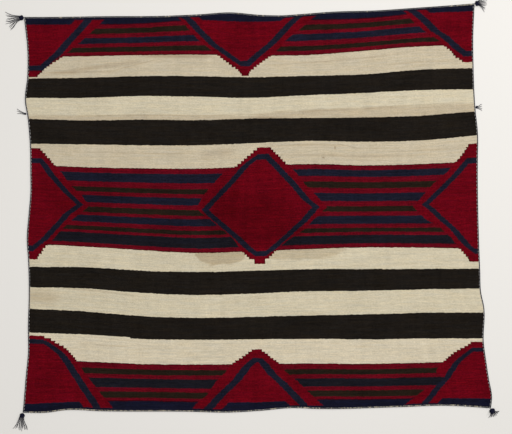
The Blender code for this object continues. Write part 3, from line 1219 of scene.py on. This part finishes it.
def mesh_object(
    name: str,
    points: np.ndarray,
    quads: np.ndarray,
    material: bpy.types.Material,
    ends: Sequence[np.ndarray] = (),
) -> bpy.types.Object:
    """Puts a mesh of quads into the scene, with its object at the origin.

    Args:
        name: the object's name.
        points: the vertices in metres, one row each.
        quads: four vertex numbers a face.
        material: its material.
        ends: the vertex numbers of each larger face that closes an end.

    Returns:
        The object, shaded smooth.
    """
    mesh = bpy.data.meshes.new(name)
    faces = quads.tolist() + [end.tolist() for end in ends]
    mesh.from_pydata(points.tolist(), [], faces)
    mesh.materials.append(material)
    mesh.shade_smooth()
    mesh.update()
    obj = bpy.data.objects.new(name, mesh)
    bpy.context.scene.collection.objects.link(obj)
    return obj


def grid_quads(rows: int, columns: int, start: int = 0, around: bool = False) -> np.ndarray:
    """Numbers the quads of a grid of vertices that is stored row by row.

    Args:
        rows: rows of vertices.
        columns: vertices in a row.
        start: the first vertex's number.
        around: whether each row closes on itself.

    Returns:
        Four vertex numbers a quad.
    """
    gaps = columns if around else columns - 1
    row, column = np.meshgrid(np.arange(rows - 1), np.arange(gaps), indexing="ij")
    after = (column + 1) % columns
    here = start + row * columns
    corners = (here + column, here + after, here + columns + after, here + columns + column)
    return np.stack([corner.ravel() for corner in corners], axis=1)


class Strands:
    """Gathers yarns that are swept along paths into one mesh."""

    def __init__(self) -> None:
        """Starts with nothing gathered."""
        self.points: list[np.ndarray] = []
        self.quads: list[np.ndarray] = []
        self.ends: list[np.ndarray] = []
        self.count = 0

    def sweep(
        self,
        path: np.ndarray,
        radius: np.ndarray,
        sides: int,
        ply_turn: np.ndarray | None = None,
    ) -> None:
        """Sweeps a section along a path.

        The section is a circle. With ply_turn it is pinched to two lobes that turn along the path,
        as in a yarn of two plies: its radius goes with the size of the cosine of the angle from
        the lobes.

        Args:
            path: the centreline's points, in metres.
            radius: the section's radius at each point, in metres.
            sides: how many sides the section has.
            ply_turn: the lobes' angle at each point, in radians.
        """
        run = np.gradient(path, axis=0)
        run /= np.linalg.norm(run, axis=1, keepdims=True)
        side = np.cross(run, np.array([0.0, 0.0, 1.0]))
        side /= np.linalg.norm(side, axis=1, keepdims=True) + 1e-12
        up = np.cross(side, run)
        angle = np.linspace(0, 2 * math.pi, sides, endpoint=False)[None, :]
        size = radius[:, None] * np.ones_like(angle)
        if ply_turn is not None:
            size = size * (0.68 + 0.32 * np.abs(np.cos(angle - ply_turn[:, None])))
        rings = (
            path[:, None, :]
            + side[:, None, :] * (size * np.cos(angle))[..., None]
            + up[:, None, :] * (size * np.sin(angle))[..., None]
        )
        self.gather(rings)

    def gather(self, rings: np.ndarray) -> None:
        """Adds a tube of rings, closed at both ends.

        Args:
            rings: points in metres, by ring and by place round it.
        """
        rows, sides = rings.shape[:2]
        self.points.append(rings.reshape(-1, 3))
        self.quads.append(grid_quads(rows, sides, self.count, around=True))
        first = np.arange(sides) + self.count
        self.ends += [first[::-1], first + (rows - 1) * sides]
        self.count += rows * sides

    def object(self, name: str, material: bpy.types.Material) -> bpy.types.Object:
        """Makes one object of all that was gathered.

        Args:
            name: the object's name.
            material: its material.

        Returns:
            The object.
        """
        return mesh_object(name, np.vstack(self.points), np.vstack(self.quads), material, self.ends)


@dataclass(frozen=True)
class Swell:
    """A low wave in the cloth: half waves across and up, its phase, and its share of the height."""

    across: float
    up: float
    phase: float
    share: float


@dataclass
class Cloth:
    """The woven cloth: one sheet with a rounded rim, low swells and finely scalloped selvages."""

    woven: WovenFrame
    thickness: float = 2.3 * MM
    rim_share: float = 0.45
    rim_width: float = 3.5
    swell_height: float = 0.35 * MM
    swells: tuple[Swell, ...] = (
        Swell(0.6, 11.0, 0.0, 0.6),
        Swell(5.0, 3.0, 1.3, 0.25),
        Swell(3.0, -4.0, 0.6, 0.15),
    )
    scallop_depth: float = 0.8
    scallop_pitch: float = 13.0
    columns: int = 96
    rows: int = 400
    rim_places: tuple[float, ...] = (0.0, 0.8, 2.0, 3.5)

    def places(self, length: float, count: int) -> np.ndarray:
        """Spaces the grid's lines: evenly, with a few more at both rims.

        Args:
            length: the cloth's length that way, in millimetres.
            count: how many even gaps.

        Returns:
            The places, in millimetres.
        """
        rim = np.array(self.rim_places)
        inner = np.linspace(rim[-1] + 4.0, length - rim[-1] - 4.0, count)
        return np.concatenate([rim, inner, (length - rim)[::-1]])

    def top_height(self, weft: np.ndarray, warp: np.ndarray) -> np.ndarray:
        """Works out the height of the upper face.

        It is the thickness and a sum of low waves that die out at the rim, all of it rounded down
        over the last few millimetres.

        Args:
            weft: U of each column, in millimetres.
            warp: V of each row, in millimetres.

        Returns:
            Heights in metres.
        """
        across = (weft / WEFT_LENGTH)[None, :]
        up = (warp / WARP_LENGTH)[:, None]
        fade = np.minimum(1.0, 3.0 * np.sin(math.pi * across) * np.sin(math.pi * up))
        waves = sum(
            wave.share * np.sin(math.pi * (wave.across * across + wave.up * up) + wave.phase)
            for wave in self.swells
        )
        from_side = np.minimum(weft, WEFT_LENGTH - weft)[None, :]
        from_end = np.minimum(warp, WARP_LENGTH - warp)[:, None]
        inward = np.clip(np.minimum(from_side, from_end) / self.rim_width, 0, 1)
        rounded = self.rim_share + (1 - self.rim_share) * np.sqrt(1 - (1 - inward) ** 2)
        return (self.thickness + self.swell_height * fade * waves) * rounded

    def build(self, material: bpy.types.Material) -> bpy.types.Object:
        """Makes the cloth as a closed sheet that carries its woven places as UV, in metres.

        Args:
            material: the woven wool.

        Returns:
            The object.
        """
        weft = self.places(WEFT_LENGTH, self.columns)
        warp = self.places(WARP_LENGTH, self.rows)
        x, y = self.woven.points(weft, warp)
        wave = self.scallop_depth * MM * np.sin(2 * math.pi * warp / self.scallop_pitch)
        outward = np.where(weft < WEFT_LENGTH / 2, -1.0, 1.0)
        reach = np.clip(1 - np.minimum(weft, WEFT_LENGTH - weft) / 12.0, 0, 1)
        x = x + wave[:, None] * (outward * reach)[None, :]
        top = np.stack([x, y, self.top_height(weft, warp)], axis=-1).reshape(-1, 3)
        under = top * np.array([1.0, 1.0, 0.0])
        rows, columns = len(warp), len(weft)
        upper = grid_quads(rows, columns)
        lower = grid_quads(rows, columns, rows * columns)[:, ::-1]
        bottom_row = np.arange(columns)
        rim = np.concatenate(
            [
                bottom_row[:-1],
                np.arange(rows - 1) * columns + columns - 1,
                ((rows - 1) * columns + bottom_row)[:0:-1],
                (np.arange(rows) * columns)[:0:-1],
            ]
        )
        after = np.roll(rim, -1)
        under_rim = rim + rows * columns
        under_after = after + rows * columns
        walls = np.stack([after, rim, under_rim, under_after], axis=1)
        quads = np.vstack([upper, lower, walls])
        obj = mesh_object("blanket_cloth", np.vstack([top, under]), quads, material)
        places = np.stack(np.broadcast_arrays(weft[None, :], warp[:, None]), axis=-1).reshape(-1, 2)
        places = np.vstack([places, places]) * MM
        corners = np.empty(len(obj.data.loops), np.int32)
        obj.data.loops.foreach_get("vertex_index", corners)
        layer = obj.data.uv_layers.new(name="woven")
        layer.uv.foreach_set("vector", places[corners].astype(np.float32).ravel())
        return obj


@dataclass(frozen=True)
class EdgeCord:
    """A cord of two twisted strands beside one edge. It runs past the corners by overrun, in m."""

    name: str
    node: str
    side: Side
    past_first: float
    past_last: float
    twist_length: float = 12.0 * MM
    radius: float = 1.9 * MM
    gap: float = 0.4 * MM
    strand_radius: float = 1.02 * MM
    sections_a_twist: int = 8
    sides: int = 6

    def centreline(self, woven: WovenFrame, count: int) -> np.ndarray:
        """Follows the cord's middle.

        Args:
            woven: where the cloth's edges are.
            count: how many points.

        Returns:
            Points in metres.
        """
        path, outward = woven.edge(self.side, np.linspace(0, 1, count))
        path = path + outward * (self.radius + self.gap)
        first = (path[1] - path[0]) / np.linalg.norm(path[1] - path[0])
        last = (path[-1] - path[-2]) / np.linalg.norm(path[-1] - path[-2])
        share = np.linspace(0, 1, count)[:, None]
        near = np.clip(1 - share * 20, 0, 1) * self.past_first
        far = np.clip(1 - (1 - share) * 20, 0, 1) * self.past_last
        path = path - near * first + far * last
        return np.column_stack([path, np.full(count, self.radius)])

    def build(self, woven: WovenFrame, material: bpy.types.Material) -> bpy.types.Object:
        """Makes the cord: each strand is a helix about the centreline.

        Args:
            woven: where the cloth's edges are.
            material: the cord's yarn.

        Returns:
            The object.
        """
        rough = self.centreline(woven, 200)
        length = float(np.linalg.norm(np.diff(rough, axis=0), axis=1).sum())
        count = int(length / self.twist_length * self.sections_a_twist)
        path = self.centreline(woven, count)
        run = np.gradient(path, axis=0)
        run /= np.linalg.norm(run, axis=1, keepdims=True)
        side = np.stack([run[:, 1], -run[:, 0], np.zeros(count)], axis=1)
        walked = np.concatenate([[0.0], np.cumsum(np.linalg.norm(np.diff(path, axis=0), axis=1))])
        uneven = 0.5 * np.sin(walked / (37 * MM)) + 0.4 * np.sin(walked / (90 * MM) + 1.0)
        turn = 2 * math.pi * walked / self.twist_length + uneven
        offset = self.radius - self.strand_radius
        strands = Strands()
        for half in (0.0, math.pi):
            helix = (
                path
                + side * (offset * np.cos(turn + half))[:, None]
                + np.array([0.0, 0.0, 1.0]) * (offset * np.sin(turn + half))[:, None]
            )
            strands.sweep(helix, np.full(count, self.strand_radius), self.sides)
        return strands.object(self.name, material)


@dataclass(frozen=True)
class LoopSpan:
    """A run of an end where the warp's cream turns show: U in mm, and the share of them shown."""

    start: float
    end: float
    share: float


@dataclass(frozen=True)
class WarpLoops:
    """The warp's turns at one end of the cloth, which show as cream dots between the cords."""

    name: str
    side: Side
    spans: tuple[LoopSpan, ...]
    seed: int
    pitch: float = 5.4
    yarn_radius: float = 0.85 * MM
    reach: float = 3.4 * MM
    width: float = 2.2 * MM
    base_height: float = 1.2 * MM
    crown_height: float = 3.2 * MM

    def build(self, woven: WovenFrame, material: bpy.types.Material) -> bpy.types.Object:
        """Makes the loops: small arches that leave the end of the cloth and come back to it.

        Args:
            woven: where the cloth's ends are.
            material: the undyed warp yarn.

        Returns:
            The object.
        """
        rng = np.random.default_rng(self.seed)
        places = np.arange(self.pitch, WEFT_LENGTH, self.pitch)
        chance = np.zeros_like(places)
        for span in self.spans:
            within = (places >= span.start) & (places <= span.end)
            chance[within] = span.share
        places = places[rng.random(len(places)) < chance]
        path, outward = woven.edge(self.side, np.concatenate([[0.0], places / WEFT_LENGTH, [1.0]]))
        strands = Strands()
        share = np.linspace(0, math.pi, 8)
        for point, out in zip(path[1:-1], outward[1:-1]):
            along = np.array([-out[1], out[0]])
            size = rng.uniform(0.75, 1.15)
            reach = self.reach * size * np.sin(share) - 0.8 * MM
            slide = self.width / 2 * size * np.cos(share)
            flat = point + out * reach[:, None] + along * slide[:, None]
            rise = self.base_height + (self.crown_height - self.base_height) * np.sin(share)
            strands.sweep(np.column_stack([flat, rise]), np.full(8, self.yarn_radius * size), 5)
        return strands.object(self.name, material)


@dataclass(frozen=True)
class Tassel:
    """A tuft of two-ply yarns held by a wound knot. Lengths are in mm and angles in degrees."""

    node: str
    x: float
    y: float
    heading: float
    spread: float
    yarn_length: float
    yarns_across: int
    layers: int
    knot_width: float
    knot_length: float
    knot_height: float
    bend: float
    half_yarn: float = 1.05 * MM
    ply_length: float = 7.0 * MM
    sections: int = 26
    sides: int = 10

    def yarn_path(self, index: int, layer: int) -> tuple[np.ndarray, np.ndarray]:
        """Follows one yarn from inside the knot to its tip.

        It fans out to its own heading over the first part of its length, bends with the tassel,
        and comes down from its layer to the floor.

        Args:
            index: its place across.
            layer: its layer, from the floor.

        Returns:
            Points in metres in the knot's own frame, and the yarn's radius at each.
        """
        step = self.spread / max(1, self.yarns_across - 1)
        turn = math.radians(self.spread * -0.5 + step * (index + 0.5 * layer))
        uneven = 1 - 0.16 * math.sin(2.3 * index + 1.7 * layer) ** 2
        length = (self.yarn_length + 0.3 * self.knot_length) * MM * uneven * (1 - 0.07 * layer)
        share = np.linspace(0, 1, self.sections)
        wave = 0.16 * np.sin(5.0 * share + 1.9 * index + 0.8 * layer) * share
        fanned = turn * np.minimum(1.0, 0.35 + 1.3 * share)
        angle = fanned + math.radians(self.bend) * np.sin(math.pi * share) + wave
        run = length / (self.sections - 1)
        cell = (index + 0.5) / self.yarns_across * 2 - 1
        x = 0.7 * self.knot_length * MM + np.cumsum(run * np.cos(angle))
        y = cell * self.knot_width * 0.42 * MM + np.cumsum(run * np.sin(angle))
        half = self.half_yarn * (1 - 0.35 * share**3)
        start = self.knot_height * MM * (0.25 + 0.4 * layer)
        droop = np.clip((share - 0.5) / 0.4, 0, 1)
        rest = half + layer * (1 - droop) * 2.1 * self.half_yarn
        settle = np.minimum(1.0, share / 0.3)
        z = start * (1 - settle) + rest * settle
        return np.stack([x, y, z], axis=1), half

    def knot(self) -> np.ndarray:
        """Shapes the knot, whose surface is ridged by the yarn wound round it.

        Returns:
            Rings of points in metres, in the knot's own frame.
        """
        share = np.linspace(0, 1, 44)
        places = (0.0, 0.2, 0.45, 0.72, 1.0)
        width = np.interp(share, places, (0.42, 0.85, 1.0, 0.84, 0.9)) * self.knot_width * MM / 2
        height = np.interp(share, places, (0.5, 0.88, 1.0, 0.8, 0.62)) * self.knot_height * MM / 2
        angle = np.linspace(0, 2 * math.pi, 28, endpoint=False)
        winding = 2 * math.pi * share[:, None] * self.knot_length / 2.3 + angle[None, :]
        ridge = 0.92 + 0.10 * np.abs(np.sin(winding / 2))
        closing = np.sqrt(np.clip(1 - (2 * share - 1) ** 8, 0.02, 1))[:, None]
        y = width[:, None] * np.cos(angle)[None, :] * ridge * closing
        z = height[:, None] * (1 + np.sin(angle)[None, :] * ridge * closing)
        x = (share * self.knot_length * MM)[:, None] * np.ones_like(y)
        return np.stack([x, y, z], axis=-1)

    def build(self, material: bpy.types.Material) -> bpy.types.Object:
        """Makes the tassel in its place on the floor.

        Args:
            material: its yarn.

        Returns:
            The object.
        """
        strands = Strands()
        strands.gather(self.knot())
        for layer in range(self.layers):
            for index in range(self.yarns_across):
                path, radius = self.yarn_path(index, layer)
                walked = np.linspace(0, self.yarn_length * MM, self.sections)
                ply = 2 * math.pi * walked / self.ply_length / 2 + index
                strands.sweep(path, radius, self.sides, ply)
        heading = math.radians(self.heading)
        cos, sin = math.cos(heading), math.sin(heading)
        spin = np.array([[cos, sin, 0.0], [-sin, cos, 0.0], [0.0, 0.0, 1.0]])
        origin = np.array([self.x * MM, self.y * MM, 0.0])
        strands.points = [points @ spin + origin for points in strands.points]
        return strands.object(self.node + "_yarns", material)


EDGE_CORDS = (
    EdgeCord("left_selvage_cord", "side_cord_left", Side.LEFT, 5 * MM, -1 * MM),
    EdgeCord("right_selvage_cord", "side_cord_right", Side.RIGHT, 5 * MM, -1 * MM),
    EdgeCord("bottom_end_cord", "end_cord_bottom", Side.BOTTOM, -1 * MM, -1 * MM, 9 * MM),
    EdgeCord("top_end_cord", "end_cord_top", Side.TOP, 5 * MM, 5 * MM, 9 * MM),
)

WARP_LOOPS = (
    WarpLoops(
        "bottom_warp_loops",
        Side.BOTTOM,
        (
            LoopSpan(20, 340, 0.8),
            LoopSpan(340, 700, 0.55),
            LoopSpan(700, 1180, 0.45),
            LoopSpan(1180, 1640, 0.6),
        ),
        seed=4,
    ),
    WarpLoops(
        "top_warp_loops",
        Side.TOP,
        (
            LoopSpan(60, 380, 0.05),
            LoopSpan(420, 1000, 0.16),
            LoopSpan(1000, 1560, 0.04),
            LoopSpan(1580, 1665, 0.85),
        ),
        seed=7,
    ),
)

TASSELS = (
    Tassel("tassel_top_left", -842.5, 723, 188, 66, 52, 7, 2, 20, 17, 8.0, 8),
    Tassel("tassel_top_right", 826.6, 774, 8, 110, 30, 7, 2, 20, 15, 8.0, -12),
    Tassel("tassel_bottom_left", -845.5, -740.8, -106, 48, 48, 7, 2, 20, 17, 8.0, 12),
    Tassel("tassel_bottom_right", 885.6, -723.6, -62, 120, 13, 7, 2, 23, 20, 11.0, 0),
    Tassel("tail_left", -832.8, 366, 168, 24, 30, 3, 1, 8, 8, 4.4, -8),
    Tassel("tail_right", 828.9, 392, -8, 60, 18, 4, 1, 11, 8, 4.4, 12),
)


@dataclass
class Blanket:
    """The whole blanket: cloth, edge cords, warp loops, tassels and tails."""

    woven: WovenFrame = field(default_factory=WovenFrame)

    def build(self) -> list[bpy.types.Object]:
        """Makes every piece in order, hides the imported parts that the cloth, cords and tassels
        replace, logs each and hangs all under one body.

        Returns:
            The pieces.
        """
        tapestry = TapestryWool().build()
        cord_wool = TwistedWool("Twined indigo wool", Yarn.INDIGO).build()
        tassel_wool = TwistedWool("Loose indigo wool yarn", Yarn.NAVY).build()
        warp_wool = TwistedWool("Undyed wool warp", Yarn.CREAM).build()
        cloth = Cloth(self.woven).build(tapestry)
        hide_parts("blanket")
        self.report(cloth)
        others = []
        for cord in EDGE_CORDS:
            piece = cord.build(self.woven, cord_wool)
            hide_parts(cord.node)
            others.append(piece)
        for loops in WARP_LOOPS:
            piece = loops.build(self.woven, warp_wool)
            others.append(piece)
        for tassel in TASSELS:
            piece = tassel.build(tassel_wool)
            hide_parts(tassel.node)
            others.append(piece)
        for piece in others:
            self.report(piece)
        for piece in [cloth, *others]:
            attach(piece, "root")
        return [cloth, *others]

    def report(self, piece: bpy.types.Object) -> None:
        """Logs a finished piece.

        Args:
            piece: the piece.
        """
        LOG.info("%s: %d faces", piece.name, len(piece.data.polygons))


@dataclass(frozen=True)
class SoftLight:
    """A square soft box: its place and its aim in metres, its size in metres and its power in W."""

    name: str
    place: tuple[float, float, float]
    aim: tuple[float, float, float]
    size: float
    power: float


@dataclass(frozen=True)
class Studio:
    """A pale floor, soft lights and a camera straight above the blanket."""

    floor_colour: str = "#dddad5"
    camera_height: float = 7.0
    view_width: float = 1.8944
    view_centre: tuple[float, float] = (0.01665, -0.0148)
    sensor: float = 36.0
    world_strength: float = 0.35
    lights: tuple[SoftLight, ...] = (
        SoftLight("overhead soft box", (0.2, 0.3, 5.0), (0.0, 0.0, 0.0), 4.0, 195.0),
        SoftLight("raking soft box", (3.2, 2.6, 2.2), (0.0, 0.0, 0.0), 1.6, 75.0),
    )

    def build(self) -> None:
        """Makes the floor, the lights, the world and the camera."""
        self.floor()
        self.light()
        self.camera()
        # Plain colours, so that the wool shows as it was dyed.
        bpy.context.scene.view_settings.view_transform = "Standard"

    def floor(self) -> None:
        """Lays a wide matt floor at Z = 0."""
        material = empty_material("Pale painted floor")
        surface = add(
            material.node_tree,
            "BsdfPrincipled",
            {"Base Color": linear(self.floor_colour), "Roughness": 0.85, "Specular IOR Level": 0.2},
        )
        output = material.node_tree.nodes.new("ShaderNodeOutputMaterial")
        material.node_tree.links.new(surface, output.inputs["Surface"])
        reach = 6.0
        ways = ((-1, -1, 0), (1, -1, 0), (1, 1, 0), (-1, 1, 0))
        corners = reach * np.array(ways)
        obj = mesh_object("floor", corners, np.array([[0, 1, 2, 3]]), material)

    def light(self) -> None:
        """Hangs the soft boxes and sets a faint even light all round."""
        for soft in self.lights:
            data = bpy.data.lights.new(soft.name, "AREA")
            data.shape = "SQUARE"
            data.size = soft.size
            data.energy = soft.power
            obj = bpy.data.objects.new(soft.name, data)
            bpy.context.scene.collection.objects.link(obj)
            way = np.array(soft.aim) - np.array(soft.place)
            distance = float(np.linalg.norm(way))
            obj.location = soft.place
            tilt = math.acos(-way[2] / distance)
            obj.rotation_euler = (tilt, 0.0, math.atan2(way[1], way[0]) - math.pi / 2)
        world = bpy.data.worlds.new("studio")
        world.use_nodes = True
        background = world.node_tree.nodes["Background"]
        background.inputs["Color"].default_value = (1.0, 1.0, 1.0, 1.0)
        background.inputs["Strength"].default_value = self.world_strength
        bpy.context.scene.world = world

    def camera(self) -> None:
        """Sets the camera above the blanket, with the photo's width of floor in its view."""
        data = bpy.data.cameras.new("view from above")
        data.sensor_width = self.sensor
        data.lens = self.sensor * self.camera_height / self.view_width
        obj = bpy.data.objects.new("view from above", data)
        obj.location = (*self.view_centre, self.camera_height)
        bpy.context.scene.collection.objects.link(obj)
        bpy.context.scene.camera = obj


def main() -> None:
    """Builds the blanket and the studio."""
    pieces = Blanket().build()
    Studio().build()
    LOG.info("%d pieces in the studio", len(pieces))


if __name__ == "__main__":
    main()
